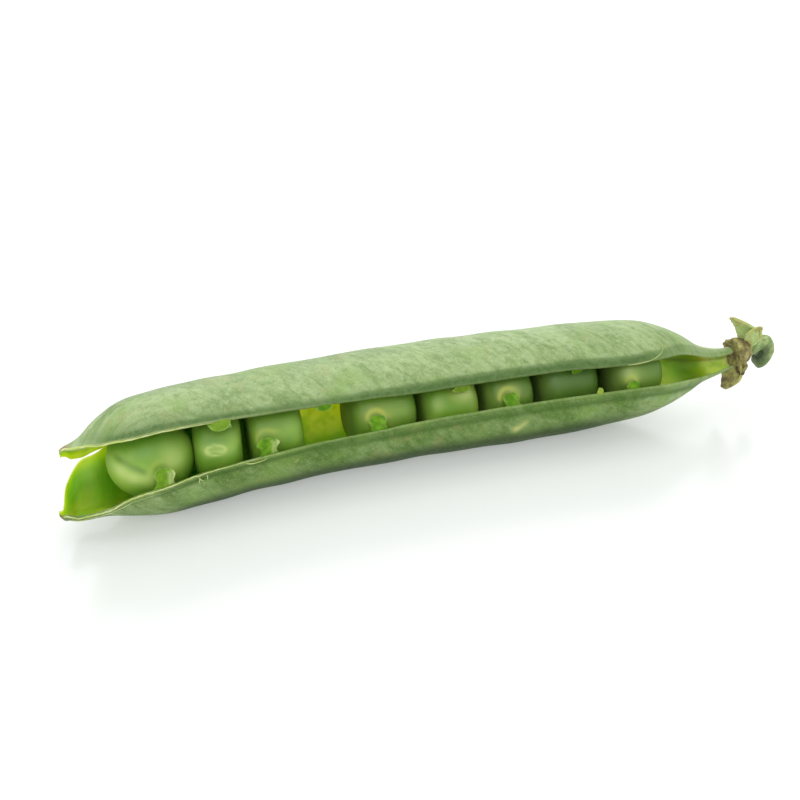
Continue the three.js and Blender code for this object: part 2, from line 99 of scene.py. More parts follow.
# A pea: its place in the row, x of its middle, half length along the pod, round radius, how far its
# middle lies in front of the oval's and below it, squareness (1 is an ellipsoid, less is flatter at the
# ends), lean of its axis in degrees, and how much its green is darkened, by painted shade under the lip
# and by its own tone. Place 4 has lost its pea.
Pea = namedtuple("Pea", "place x half radius front below square lean deep")
PEAS = [
    Pea(1, -29.4, 4.65, 4.45, 0.1, 0.2, 1.0, 0, 0.0),
    Pea(2, -22.1, 2.65, 4.35, 0.7, 0.3, 0.5, -8, 0.15),
    Pea(3, -15.65, 3.05, 4.35, 0.8, 0.3, 0.44, -5, 0.15),
    Pea(5, -3.15, 4.0, 4.4, 0.8, 0.3, 0.6, 0, 0.4),
    Pea(6, 5.0, 3.4, 4.3, 0.8, 0.7, 0.5, 0, 0.0),
    Pea(7, 12.2, 3.0, 4.3, 0.8, 0.4, 0.5, 0, 0.8),
    Pea(8, 20.1, 3.8, 4.2, 0.2, 0.3, 0.52, 0, 1.0),
    Pea(9, 28.6, 3.35, 3.95, 0.5, 0.2, 0.64, 0, 0.8),
]
PEA_ROWS, PEA_COLUMNS = 80, 120
# place, middle of a pale swelling from the pea's middle, its reach, how pale it is, how far it stands up;
# rows that do not stand up are painted highlights
PEA_SWELLINGS_AND_HIGHLIGHTS = [
    (1, (-3.5, -2.9, 0.8), 1.0, 0.8, 0.1),
    (1, (-2.3, -3.9, 0.1), 1.0, 0.8, 0.06),
    (1, (-1.0, -4.4, -0.3), 0.8, 0.5, 0.03),
    # a painted highlight on the first pea's upper right
    (1, (2.2, -3.9, 1.6), 1.5, 0.55, 0.0),
    (6, (1.6, -3.2, 2.9), 1.0, 0.9, 0.05),
    (6, (0.6, -3.2, 2.9), 0.8, 0.5, 0.03),
    # a painted highlight on the sixth pea's left
    (6, (-2.4, -3.6, 2.0), 0.8, 0.4, 0.0),
    (7, (-0.2, -3.4, 2.2), 0.9, 0.5, 0.03),
    (9, (-2.2, -3.3, 1.6), 1.3, 0.6, 0.05),
]
# the crease that runs from the first pea's scar, from the pea's middle
CREASE = ((-1.3, -4.3, 0.9), (-4.0, -1.8, 2.2))
CREASE_REACH = 0.4
CREASE_DEPTH = 0.12
# the bare scar of the second pea, which its stalk has let go, from the pea's middle, and half its size
BARE_SCAR = (-0.3, -3.95, 1.6)
BARE_SCAR_HALF = (1.0, 0.5)
BARE_SCAR_LINE = 0.22  # how thick its ring and its middle line are, as a share of its half size

# A stalk that ties a pea to a rim, on the lower valve at odd places and the upper at even: the place,
# its x, degrees it climbs round the pea from the rim, degrees it hangs past the rim if it has let go,
# half width of its head, how yellow it is, how pale its foot is, how plain its mark on the pea is.
Stalk = namedtuple("Stalk", "place x climb hang head yellow foot mark")
STALKS = [
    Stalk(1, -28.7, 27, 0, 1.15, 0.2, 0.9, 0.3),
    Stalk(2, -22.3, 0, 8.5, 1.25, 0.4, 0.0, 0.0),
    Stalk(3, -17.45, 23, 0, 1.35, 0.0, 0.8, 0.5),
    Stalk(4, -10.7, 0, 5, 0.9, 0.0, 0.0, 0.0),
    Stalk(5, -4.9, 21, 0, 1.1, 0.0, 0.1, 0.9),
    Stalk(6, 5.6, 10, 0, 1.2, 0.5, 0.0, 0.2),
    Stalk(7, 11.2, 20, 0, 1.1, 0.0, 0.1, 1.0),
    Stalk(8, 19.9, 8, 0, 0.7, 0.0, 0.0, 0.0),
    Stalk(9, 26.3, 16, 0, 0.85, 0.0, 0.0, 0.7),
]
BARE_STUB = Stalk(8, 21.8, 0, 6, 0.42, 1.0, 0.0, 0.0)  # stands on the lower rim beside the eighth pea
STALK_INSET = 7  # degrees from the rim to the root
STALK_SINK = 0.5  # the root starts this deep in the wall
STALK_WAIST = 0.9  # half width of the waist
STALK_SPLAY = 0.5  # how much wider the foot is than the waist
STALK_FLARE = 1.05  # half width of the CAD's head, which the route keeps clear of the pea
STALK_THICK = 0.3  # half thickness
STALK_GAP = 0.32  # the head stands this far off the pea
STALK_HANG_DEPTH = 0.25  # the end of a hanging stalk lies this deep under the skin's sweep
STALK_STRETCH = 1.12  # a head goes this much further round the pea than in the CAD
STALK_ROWS, STALK_COLUMNS = 30, 32

CUP_START = NECK_END + 0.3
CUP_LENGTH = 2.3
CUP_RADIUS = 1.8
CUP_FOOT_RADIUS = 1.15  # at the end of the cup that joins the stem
CUP_Y = -5.8
CUP_Z = 7.85
CUP_VEINS = 10
CUP_DRYNESS = 0.75
SEPAL_FOOT = 0.9  # how far along the cup the sepals stand
SEPAL_ROOT = 1.1  # how far from the cup's axis they start
SEPAL_THICK = 0.34
# degrees round the cup from straight up towards the mouth, length, half width, lean of the tip
# over the pod, how far back its root is, twist in degrees, dryness (0 is green, 1 is brown)
SEPALS = [
    (-6, 4.7, 1.4, 1.5, 1.5, 40, 0.0),
    (24, 4.3, 0.9, -1.4, 1.1, 40, 0.1),
    (-100, 3.3, 1.1, -0.6, 0.0, 0, 0.6),
    (175, 4.7, 1.9, 1.6, 0.0, 0, 0.5),
    (140, 3.0, 1.2, 0.5, 0.0, 0, 0.7),
]
PEDICEL_RADIUS = 1.0
PEDICEL_NECK = 0.82  # its radius where it leaves the calyx, as a share of the full one
PEDICEL_RIBS = 5
PEDICEL_ROUTE = [
    (45.3, CUP_Y, CUP_Z),
    (46.3, -5.7, 8.4),
    (47.5, -5.6, 8.4),
    (48.1, -5.6, 7.3),
    (47.5, -5.7, 6.2),
    (46.6, -5.8, 5.8),
]
PEDICEL_HOLLOW = (46.9, -5.7, 7.1)  # the middle of its hook

# ------------------------ small helpers


def smooth(value, start, end):
    """0 before start, 1 after end, and a smooth step between."""
    t = np.clip((np.asarray(value, float) - start) / (end - start), 0, 1)
    return t * t * (3 - 2 * t)


def bell(value, middle, reach):
    """1 at the middle, falling away smoothly over the reach."""
    return np.exp(-(((np.asarray(value, float) - middle) / reach) ** 2))


def unit(vectors):
    """The vectors, each scaled to a length of 1."""
    return vectors / np.linalg.norm(vectors, axis=-1, keepdims=True)


def even_turns(count):
    """That many angles, evenly round a circle."""
    return 2 * np.pi * np.arange(count) / count


def along(table, x):
    """Smooth curves through the table's columns at each x: cubic Hermite pieces."""
    rows = np.array(table, float)
    at, columns = rows[:, 0], rows[:, 1:]
    step = np.diff(at)
    secant = np.diff(columns, axis=0) / step[:, None]
    slope = np.empty_like(columns)
    slope[1:-1] = secant[:-1] * step[1:, None] + secant[1:] * step[:-1, None]
    slope[1:-1] /= (step[:-1] + step[1:])[:, None]
    slope[0] = 2 * secant[0] - slope[1]
    slope[-1] = 2 * secant[-1] - slope[-2]
    x = np.atleast_1d(x)
    i = np.clip(np.searchsorted(at, x, side="left") - 1, 0, len(at) - 2)
    s = ((x - at[i]) / step[i])[:, None]
    wide = step[i][:, None]
    return (
        columns[i] * (1 + 2 * s) * (1 - s) ** 2
        + slope[i] * wide * s * (1 - s) ** 2
        + columns[i + 1] * s * s * (3 - 2 * s)
        + slope[i + 1] * wide * s * s * (s - 1)
    )


def wobble(x, y, z, scale, seed=0.0):
    """Smooth noise from about -1 to 1 at each point, in bumps of about that many millimetres."""
    spots = np.stack(np.broadcast_arrays(x, y, z), -1).reshape(-1, 3) / scale + seed
    values = [noise.noise(Vector(spot)) for spot in spots]
    return np.array(values).reshape(np.broadcast(x, y, z).shape)


def curve_through(spots, count):
    """That many points on a smooth curve through the spots (a Catmull-Rom spline)."""
    spots = np.array(spots, float)
    spots = np.concatenate([[2 * spots[0] - spots[1]], spots, [2 * spots[-1] - spots[-2]]])
    made = []
    for t in np.linspace(0, len(spots) - 3, count):
        i = min(int(t), len(spots) - 4)
        s = t - i
        a, b, c, d = spots[i : i + 4]
        bend = (2 * a - 5 * b + 4 * c - d) * s * s + (3 * b - a - 3 * c + d) * s**3
        made.append((2 * b + (c - a) * s + bend) / 2)
    return np.array(made)


def grid_faces(rows, columns, closed):
    """Quads of a grid of points, whose rows close on themselves if closed."""
    faces = []
    last = columns if closed else columns - 1
    for i in range(rows - 1):
        for j in range(last):
            k = (j + 1) % columns
            here, ahead = i * columns, (i + 1) * columns
            faces.append((here + j, ahead + j, ahead + k, here + k))
    return faces


def loft(rings):
    """Points and faces of a closed body through rings of as many points each, capped at both ends."""
    rows, columns = rings.shape[:2]
    points = np.concatenate([rings.reshape(-1, 3), [rings[0].mean(0), rings[-1].mean(0)]])
    faces = grid_faces(rows, columns, closed=True)
    first, last = rows * columns, rows * columns + 1
    end = (rows - 1) * columns
    for j in range(columns):
        k = (j + 1) % columns
        faces.append((first, j, k))
        faces.append((last, end + k, end + j))
    return points, faces


def add_object(name, data):
    """A new object that shows the data: a mesh, a light or a camera."""
    made = bpy.data.objects.new(name, data)
    bpy.context.collection.objects.link(made)
    return made


def new_piece(name, points, faces, material, slot, **attributes):
    """A smooth piece from points in millimetres, with named values at its points, on the body."""
    mesh = bpy.data.meshes.new(name)
    mesh.from_pydata((np.asarray(points) * MM).tolist(), [], faces)
    for key, values in attributes.items():
        data = mesh.attributes.new(key, "FLOAT", "POINT").data
        data.foreach_set("value", np.asarray(values, float).ravel())
    mesh.polygons.foreach_set("use_smooth", [True] * len(mesh.polygons))
    mesh.materials.append(material)
    shape = bmesh.new()
    shape.from_mesh(mesh)
    bmesh.ops.recalc_face_normals(shape, faces=shape.faces)
    shape.to_mesh(mesh)
    shape.free()
    piece = add_object(name, mesh)
    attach(piece, "root")
    return piece


def ways_out(route, turns):
    """The ways out of a route square to it, at each of its points and each angle."""
    ahead = unit(np.gradient(route, axis=0))
    up = unit(np.cross(ahead, (0.0, 1.0, 0.0)))
    side = np.cross(ahead, up)
    return up[:, None] * np.cos(turns)[None, :, None] + side[:, None] * np.sin(turns)[None, :, None]


def lofted_piece(name, rings, material, slot, **marks):
    """A closed piece through rings of as many points each, with values of each mark at those points.
    The middle of a capped end has its ring's mean value."""
    points, faces = loft(rings)
    for key, values in marks.items():
        values = np.broadcast_to(np.asarray(values, float), rings.shape[:2])
        marks[key] = np.concatenate([values.ravel(), [values[0].mean(), values[-1].mean()]])
    return new_piece(name, points, faces, material, slot, **marks)


def tube(name, route, radii, material, sides, **marks):
    """A round closed tube of the pod along a route of points, with a radius and marks at each."""
    rings = route[:, None] + ways_out(route, even_turns(sides)) * radii[:, None, None]
    marks = {key: np.reshape(values, (-1, 1)) for key, values in marks.items()}
    return lofted_piece(name, rings, material, "pod_skin", **marks)


# ------------------------ materials


def linear(red, green, blue):
    """A colour given as 0 to 255, as the shader wants it."""
    shares = [value / 255 for value in (red, green, blue)]
    return tuple(v / 12.92 if v <= 0.04045 else ((v + 0.055) / 1.055) ** 2.4 for v in shares) + (1.0,)


class Shader:
    """Builds one node material. Each method adds nodes, and most give back the socket to read."""

    def __init__(self, name):
        self.material = bpy.data.materials.new(name)
        self.material.use_nodes = True
        self.tree = self.material.node_tree
        self.surface = self.tree.nodes["Principled BSDF"]

    def node(self, kind, inputs=None, **settings):
        made = self.tree.nodes.new(kind)
        for key, value in settings.items():
            setattr(made, key, value)
        for key, value in (inputs or {}).items():
            self.put(made.inputs[key], value)
        return made

    def put(self, socket, value):
        if isinstance(value, bpy.types.NodeSocket):
            self.tree.links.new(value, socket)
        else:
            socket.default_value = value

    def set(self, **inputs):
        for key, value in inputs.items():
            self.put(self.surface.inputs[key.replace("_", " ")], value)

    def soft(self, weight, radius, scale_mm):
        """Light that comes through the surface: how much, and how far each colour goes."""
        self.set(Subsurface_Weight=weight, Subsurface_Radius=radius, Subsurface_Scale=scale_mm * MM)

    def place(self):
        """The object's own coordinates in millimetres."""
        where = self.node("ShaderNodeTexCoord").outputs["Object"]
        return self.node("ShaderNodeMapping", {"Vector": where, "Scale": (1000, 1000, 1000)}).outputs[0]

    def value(self, name):
        return self.node("ShaderNodeAttribute", attribute_name=name).outputs["Fac"]

    def join(self, x, y, z=0.0):
        return self.node("ShaderNodeCombineXYZ", {0: x, 1: y, 2: z}).outputs[0]

    def stretched(self, where, degrees, squeeze):
        """Turned coordinates whose noise runs long in one direction."""
        turn = (0, 0, math.radians(degrees))
        turned = self.node("ShaderNodeMapping", {"Vector": where, "Rotation": turn}).outputs[0]
        return self.node("ShaderNodeMapping", {"Vector": turned, "Scale": (1, squeeze, 1)}).outputs[0]

    def noise(self, where, scale, detail, rough, twist=0.0):
        inputs = dict(Vector=where, Scale=scale, Detail=detail, Roughness=rough, Distortion=twist)
        return self.node("ShaderNodeTexNoise", inputs).outputs["Fac"]

    def math(self, operation, first, second):
        return self.node("ShaderNodeMath", {0: first, 1: second}, operation=operation).outputs[0]

    def range(self, value, low, high, to_low=0.0, to_high=1.0):
        inputs = {0: value, 1: low, 2: high, 3: to_low, 4: to_high}
        return self.node("ShaderNodeMapRange", inputs, interpolation_type="SMOOTHSTEP").outputs[0]

    def mix(self, share, first, second):
        return self.node("ShaderNodeMix", {0: share, 6: first, 7: second}, data_type="RGBA").outputs[2]

    def layered(self, base, *layers):
        """The base with each layer's colour, given as 0 to 255, over it by the layer's share."""
        for share, colour in layers:
            base = self.mix(share, base, linear(*colour))
        return base

    def bump(self, height, distance, strength, under=None):
        inputs = dict(Height=height, Distance=distance * MM, Strength=strength)
        if under is not None:
            inputs["Normal"] = under
        return self.node("ShaderNodeBump", inputs).outputs[0]


def skin_material(name, gloss):
    """The pod's outside and rims: green under grey wax, partly a real waxy coat and partly painted sheen,
    with painted shade by the rims and on the belly, slanting streaks and fine grain. The gloss is its
    specular level."""
    s = Shader(name)
    run, arc = s.value("run_mm"), s.value("arc_mm")
    flat = s.join(run, arc)
    slant = s.noise(s.stretched(flat, 42, 0.34), 1.3, 4, 0.6, 0.8)
    lengthways = s.noise(s.stretched(flat, 78, 0.2), 1.1, 4, 0.6, 1.2)
    streaks = s.mix(s.range(run, -31, -25), lengthways, slant)
    haze = s.noise(s.stretched(flat, 42, 0.5), 0.3, 4, 0.6, 0.6)
    broad = s.noise(flat, 0.16, 3, 0.5)
    olive = s.noise(s.join(run, arc, 31.0), 0.3, 3, 0.6)
    pebble = s.noise(flat, 1.3, 4, 0.65, 0.6)
    fine = s.noise(flat, 4.5, 3, 0.6)

    fresh = s.mix(s.range(streaks, 0.36, 0.64), linear(84, 116, 44), linear(104, 134, 62))
    waxy = s.mix(s.range(streaks, 0.3, 0.62), linear(125, 152, 86), linear(153, 175, 119))
    # grey wax: partly the pod's real waxy coat, partly painted sheen
    bloom = s.math("ADD", s.value("bloom"), s.range(haze, 0.35, 0.65, -0.28, 0.28))
    bright = s.math("MULTIPLY", s.range(pebble, 0.52, 0.68, 0, 0.4), s.math("ADD", s.value("bloom"), 0.25))
    ragged = s.range(pebble, 0.3, 0.7, 0.75, 1.15)
    base = s.layered(
        s.mix(bloom, fresh, waxy),
        (s.range(pebble, 0.46, 0.32, 0, 0.5), (92, 126, 62)),
        (bright, (172, 192, 144)),
        (s.range(broad, 0.5, 0.68, 0, 0.5), (130, 164, 76)),
        (s.range(olive, 0.58, 0.7, 0, 0.45), (148, 152, 92)),
        (s.range(fine, 0.54, 0.72, 0, 0.4), (176, 196, 148)),
        (s.range(fine, 0.46, 0.3, 0, 0.35), (98, 130, 66)),
        # painted shade: the turned-down margin, the belly and far upper tip, and the groove by the rim
        (s.math("MULTIPLY", s.value("lip_shade"), ragged), (72, 106, 38)),
        (s.math("MULTIPLY", s.value("painted_shade"), 0.9), (42, 68, 20)),
        (s.math("MULTIPLY", s.value("groove"), 0.7), (66, 100, 34)),
        (s.value("pale"), (206, 214, 150)),
        (s.value("scuff"), (186, 194, 116)),
        (s.value("dry"), (140, 104, 66)),
    )

    s.set(Base_Color=base, Roughness=s.range(pebble, 0.3, 0.7, 0.5, 0.42), Specular_IOR_Level=gloss)
    s.soft(0.15, (0.5, 1.0, 0.15), 1.2)
    s.set(Normal=s.bump(fine, 0.03, 0.6, s.bump(pebble, 0.12, 0.6, s.bump(streaks, 0.12, 0.6))))
    return s.material


def lining_material():
    """The pod's inside: a smooth, moist, yellow-green membrane that light comes through, painted lighter
    where light comes through the thin wall and darker in the painted shade behind the peas.
    """
    s = Shader("pod_lining")
    run, arc = s.value("run_mm"), s.value("arc_mm")
    flat = s.join(run, arc)
    clouds = s.noise(flat, 0.22, 3, 0.5)
    fibres = s.noise(s.stretched(flat, 0, 0.22), 1.3, 4, 0.6, 0.6)
    mottles = s.noise(flat, 0.45, 2, 0.5)
    base = s.layered(
        s.mix(s.range(clouds, 0.35, 0.65), linear(118, 168, 26), linear(160, 178, 34)),
        (s.range(fibres, 0.42, 0.7, 0, 0.35), (142, 188, 60)),
        # painted light: the glow through the thin wall where the pea is missing, in the stem hollow and at
        # the tip
        (s.value("empty"), (224, 230, 136)),
        (s.range(mottles, 0.45, 0.65, 0, 0.4), (124, 164, 32)),
        (s.range(clouds, 0.6, 0.72, 0, 0.5), (206, 160, 52)),
        # painted shade on the lining behind the peas and by the neck
        (s.value("lining_shade"), (74, 100, 34)),
        (s.value("pale"), (200, 208, 140)),
    )
    s.set(Base_Color=base, Roughness=0.42, Specular_IOR_Level=0.2)
    s.soft(0.9, (0.8, 1.0, 0.2), 2)
    s.set(Normal=s.bump(fibres, 0.06, 0.4))
    return s.material


def pea_material():
    """A pea's skin: satin, softly clouded, deeper green on top (its own colour and painted shade under the
    upper valve), yellow round its scar.
    """
    s = Shader("pea_skin")
    where = s.place()
    clouds = s.noise(where, 0.22, 2, 0.5)
    grain = s.noise(where, 2.2, 3, 0.5)
    base = s.layered(
        s.mix(s.range(clouds, 0.35, 0.65), linear(118, 164, 48), linear(148, 184, 72)),
        # darker on top: partly the pea's own deeper green, partly painted shade under the upper valve
        (s.range(s.value("up"), 0.35, 0.95, 0, 0.75), (96, 142, 36)),
        # painted shade where a pea lies under the lip, with some of its own darker tone
        (s.math("MULTIPLY", s.value("deep"), 0.75), (66, 104, 34)),
        (s.value("halo"), (184, 198, 78)),
        # pale marks, some of them painted highlights
        (s.value("pale"), (184, 206, 116)),
        # painted shade in the first pea's crease
        (s.value("groove"), (88, 128, 36)),
    )
    s.set(Base_Color=base, Roughness=0.46)
    s.soft(0.6, (0.7, 1.0, 0.2), 3.5)
    s.set(Coat_Weight=0.15, Coat_Roughness=0.34)
    s.set(Normal=s.bump(grain, 0.015, 0.2, s.bump(clouds, 0.2, 0.2)))
    return s.material


def stalk_material():
    """The stalks that hold the peas: fresh bright green with pale edges."""
    s = Shader("stalk_flesh")
    grain = s.noise(s.place(), 1.6, 3, 0.6)
    base = s.layered(
        s.mix(s.range(grain, 0.35, 0.65), linear(76, 124, 8), linear(108, 156, 24)),
        (s.value("yellow"), (140, 164, 60)),
        (s.value("pale"), (196, 210, 140)),
    )
    s.set(Base_Color=base, Roughness=0.42, Specular_IOR_Level=0.15)
    s.soft(0.3, (0.5, 1.0, 0.1), 1)
    s.set(Normal=s.bump(grain, 0.06, 0.5))
    return s.material


def strand_material():
    """The pale fibre along a rim, yellow at the tip of the pod and greener further on."""
    s = Shader("rim_fibre")
    grain = s.noise(s.place(), 1.1, 3, 0.6)
    base = s.mix(s.range(grain, 0.35, 0.65), linear(182, 202, 96), linear(216, 224, 156))
    base = s.layered(base, (s.value("green"), (126, 158, 80)))
    s.set(Base_Color=base, Roughness=0.5)
    s.soft(0.2, (0.8, 1.0, 0.4), 0.6)
    s.set(Normal=s.bump(grain, 0.04, 0.5))
    return s.material


def calyx_material():
    """The withered calyx: from pale green to brown by each sepal's dryness, veined and matt."""
    s = Shader("calyx_leaf")
    where = s.place()
    patches = s.noise(where, 0.8, 4, 0.6)
    grain = s.noise(where, 3.0, 4, 0.65)
    dryness = s.math("ADD", s.value("dryness"), s.range(patches, 0.3, 0.7, -0.22, 0.22))
    green = s.mix(s.range(dryness, 0.0, 0.35), linear(188, 210, 136), linear(180, 178, 102))
    base = s.layered(
        green,
        (s.range(dryness, 0.4, 1.0), (98, 78, 48)),
        (s.range(grain, 0.5, 0.8, 0, 0.35), (176, 168, 122)),
    )
    s.set(Base_Color=base, Roughness=0.72)
    s.soft(0.1, (0.6, 0.8, 0.3), 0.6)
    s.set(Normal=s.bump(grain, 0.1, 0.6, s.bump(s.value("vein"), 0.12, 0.7)))
    return s.material


def pedicel_material():
    """The hooked stub of stem: green under a pale waxy film, ribbed lengthwise, darker along the last part
    of the hook towards its cut end, and with painted shade inside the hook."""
    s = Shader("pedicel_skin")
    grain = s.noise(s.place(), 1.4, 4, 0.6)
    base = s.layered(
        s.mix(s.range(grain, 0.35, 0.65), linear(108, 140, 66), linear(164, 182, 118)),
        (s.range(s.value("share"), 0.6, 0.95, 0, 0.7), (72, 92, 46)),
        # painted shade inside the hook
        (s.math("MULTIPLY", s.value("painted_shade"), 0.7), (40, 58, 28)),
    )
    s.set(Base_Color=base, Roughness=0.5)
    s.soft(0.1, (0.5, 1.0, 0.3), 0.8)
    s.set(Normal=s.bump(grain, 0.08, 0.5, s.bump(s.value("vein"), 0.1, 0.6)))
    return s.material


SKIN = skin_material("pod_skin", 0.5)
SKIN_BELOW = skin_material("pod_skin_below", 0.15)  # duller, or the bright table greys it
LINING = lining_material()
PEA_SKIN = pea_material()
STALK_FLESH = stalk_material()
RIM_FIBRE = strand_material()
CALYX_LEAF = calyx_material()
PEDICEL_SKIN = pedicel_material()

# ------------------------ the shell


def valve_table(side):
    """A valve's own table: its tip, then the body with this valve's rim."""
    tip = UPPER_TIP if side == UPPER else LOWER_TIP
    rim = 5 if side == UPPER else 6
    return list(tip) + [row[:5] + (row[rim], row[7]) for row in BODY]


def bulge(x):
    """How far the peas push the wall out at x."""
    swell = np.zeros_like(x)
    for pea in PEAS:
        size = BULGE_FIRST if pea.place == 1 else BULGE
        swell += size * bell(x, pea.x, pea.half * BULGE_REACH)
    return swell


class Oval:
    """The ovals of one valve at each x, with the angles of its back edge and rim in degrees."""

    def __init__(self, side, x):
        self.side, self.x = side, np.atleast_1d(np.asarray(x, float))
        y, z, depth, height, rim, seam = along(valve_table(side), self.x).T
        swell = bulge(self.x) * smooth(depth, 1, 4)
        self.y, self.z = y, z - SINK
        self.depth, self.height = depth + swell, height + swell
        self.radius = (self.depth + self.height) / 2
        self.start, self.stop = -seam * side, 180 - rim * side

    def edge(self):
        """The angle where the rounding of the rim begins. The rim wavers a little."""
        waver = 0.4 * wobble(self.x, self.side * 5.0, 0.0, 3.5)
        calm = smooth(self.x, -38, -34) * smooth(self.x, 41, 36)
        return self.stop + waver * calm - np.degrees(RIM_WALL / 2 / self.radius)

    def point(self, angle, under):
        """The point of each oval at an angle, so many millimetres under its skin."""
        turn = np.radians(angle) * self.side
        share = 1.0
        if self.side == UPPER:
            turned = np.clip((angle - self.stop + LIP_SPAN) / LIP_SPAN, 0, 1)
            share = 1 - LIP_DEPTH * smooth(self.x, -25, -10) * turned**LIP_CURVE
        depth = np.maximum(self.depth * share - under, self.depth * LEAST_CORE)
        height = np.maximum(self.height * share - under, self.height * LEAST_CORE)
        y = self.y + depth * np.cos(turn)
        z = np.maximum(self.z + height * np.sin(turn), np.maximum(under, 0))
        return np.stack([np.broadcast_to(self.x, y.shape), y, z], -1)


VALVE_ROWS = 460  # sections along a valve, closer together towards its tip
ARC_POINTS = 58  # points round it, from the back to the rim
ARC_CROWDING = 1.35  # they crowd towards the rim by this power
EDGE_POINTS = 5  # points round the thickness of an edge
RIB_RADIUS = 0.32  # of the rib along the back
SCRATCHES = [
    # valve, x, millimetres from the rim, reach along the pod, reach across, lean, how plain it shows
    (LOWER, 12.3, 2.5, 0.6, 0.5, 0.6, 0.75),
    (LOWER, 11.5, 3.1, 0.5, 0.5, 0.0, 0.95),
    (UPPER, 12.6, 2.6, 0.35, 0.25, -0.4, 0.35),
    (LOWER, -14.6, 1.4, 0.2, 0.2, 0.0, 0.5),
]


def rim_relief(side, x, left, arc):
    """How far the skin stands up, in millimetres: a bead along the rim, and dents all over. The lower
    valve has a groove by its rim, the upper one wrinkles over the seventh pea and lines at its tip."""
    relief = 0.05 * bell(left, 0.1, 0.25) + 0.05 * wobble(x, arc, side * 9.0, 4.5) * smooth(left, 0.5, 2.5)
    if side == LOWER:
        return relief - 0.06 * bell(left, 1.0, 0.28)
    lobes = np.sin((x - 13.2) * 2 * math.pi / 0.95 + left)
    wrinkles = 0.1 * lobes * bell(x, 14.6, 1.5) * bell(left, 1.45, 0.5)
    contour = np.sin(2 * math.pi * (left + 0.3 * wobble(x, arc, 4.0, 2.0)) / 0.8)
    return relief + wrinkles + 0.03 * contour * bell(x, -32.5, 2.6) * smooth(left, 2.0, 4.0)


def empty_place(x):
    """1 along the place that has lost its pea, where the wall is thin and its lining is painted with the
    light that comes through it.
    """
    return smooth(x, -12.5, -10.5) * smooth(x, -2.5, -4.5)


def valve_sheet(side, x):
    """The rings of points of a valve at each x: skin, rounded rim, lining, rounded back edge. For each
    point also its millimetres round from the back, its millimetres from the rim, and how far inside
    it is: 0 on the skin, 1 on the lining and 0.5 on the rounded edges."""
    oval = Oval(side, x)
    stop = oval.edge()
    outer, inner, arcs, lefts = [], [], [], []
    for v in 1 - (1 - np.linspace(0, 1, ARC_POINTS)) ** ARC_CROWDING:
        angle = oval.start + (stop - oval.start) * v
        arc = np.radians(angle - oval.start) * oval.radius
        left = np.radians(stop - angle) * oval.radius
        open_back = arc + 3.0 * smooth(x, SPLIT_X, SPLIT_X + 1.0)
        wall = RIM_WALL + (WALL - RIM_WALL) * smooth(np.minimum(left, open_back), 0.0, EDGE_TAPER)
        wall = wall * (1 - EMPTY_THINNING * empty_place(x))
        lift = rim_relief(side, x, left, arc) * smooth(oval.depth, 1.0, 3.0)
        outer.append(oval.point(angle, -lift))
        inner.append(oval.point(angle, wall))
        arcs.append(arc)
        lefts.append(left)

    def edge_round(at, before, leave, arrive):
        """Points round the thickness of one edge, from one face of the sheet to the other."""
        forward = unit(outer[at] - outer[before])
        middle, reach = (leave + arrive) / 2, (leave - arrive) / 2
        size = np.linalg.norm(reach, axis=-1, keepdims=True)
        turns = math.pi * np.arange(1, EDGE_POINTS + 1) / (EDGE_POINTS + 1)
        return [middle + reach * math.cos(turn) + forward * size * math.sin(turn) for turn in turns]

    rim = edge_round(-1, -2, outer[-1], inner[-1])
    back = edge_round(0, 1, inner[0], outer[0])
    rings = np.array([*outer, *rim, *inner[::-1], *back]).transpose(1, 0, 2)
    last = ARC_POINTS - 1
    order = [*range(ARC_POINTS), *[last] * EDGE_POINTS, *range(last, -1, -1), *[0] * EDGE_POINTS]
    arc, left = np.array(arcs)[order].T, np.array(lefts)[order].T
    inside = np.repeat([0.0, 0.5, 1.0, 0.5], [ARC_POINTS, EDGE_POINTS, ARC_POINTS, EDGE_POINTS])
    return rings, arc, left, inside + 0 * left


def rim_colour(side, x, left):
    """How much painted shade a valve has, in three darker greens: on the margin that turns down by its rim,
    on the belly and the far upper tip, and in the groove along the rim."""
    if side == LOWER:
        # painted shade on the belly that faces the table, less towards the neck
        painted_shade = smooth(left, 2.6, 5.2) * smooth(x, -31, -25) * (1 - 0.6 * smooth(x, 20, 29))
        # painted shade along the lower rim and in the groove beside it
        groove = 0.4 * smooth(left, 0.9, 0.5) + bell(left, 0.95, 0.35) * smooth(x, -20, -4)
        groove = groove + 0.7 * bell(left, 0.35, 0.3) * smooth(x, -31, -27) * smooth(x, -4, -16)
        return np.zeros_like(left), painted_shade, groove
    # painted shade on the upper margin that turns down to the mouth, over a ragged width
    fold = 0.5 + 0.25 * smooth(x, -12, 6)
    fold = fold + 0.1 * wobble(x, 2.0, 0.0, 1.2) + 0.06 * wobble(x, 5.0, 0.0, 0.4)
    lip_shade = smooth(left - fold, 0.45, -0.3) * smooth(x, -36, -30) * (1 - 0.75 * smooth(x, 26, 34))
    lip_shade = lip_shade + 0.4 * smooth(left, 2.6, 0.6) * smooth(x, -38, -34) * smooth(x, -20, -27)
    lip_shade = np.clip(lip_shade, 0, 1) * (1 - 0.3 * bell(x, -13, 6))
    # painted shade in the crease where the turned-down margin starts
    groove = 0.5 * bell(left - fold, 0.1, 0.16) * smooth(x, -12, -4)
    # painted shade on the far upper tip, away from the light
    painted_shade = 0.22 * smooth(left, 4.5, 8.0) * smooth(x, -22, -28)
    return lip_shade, painted_shade, groove


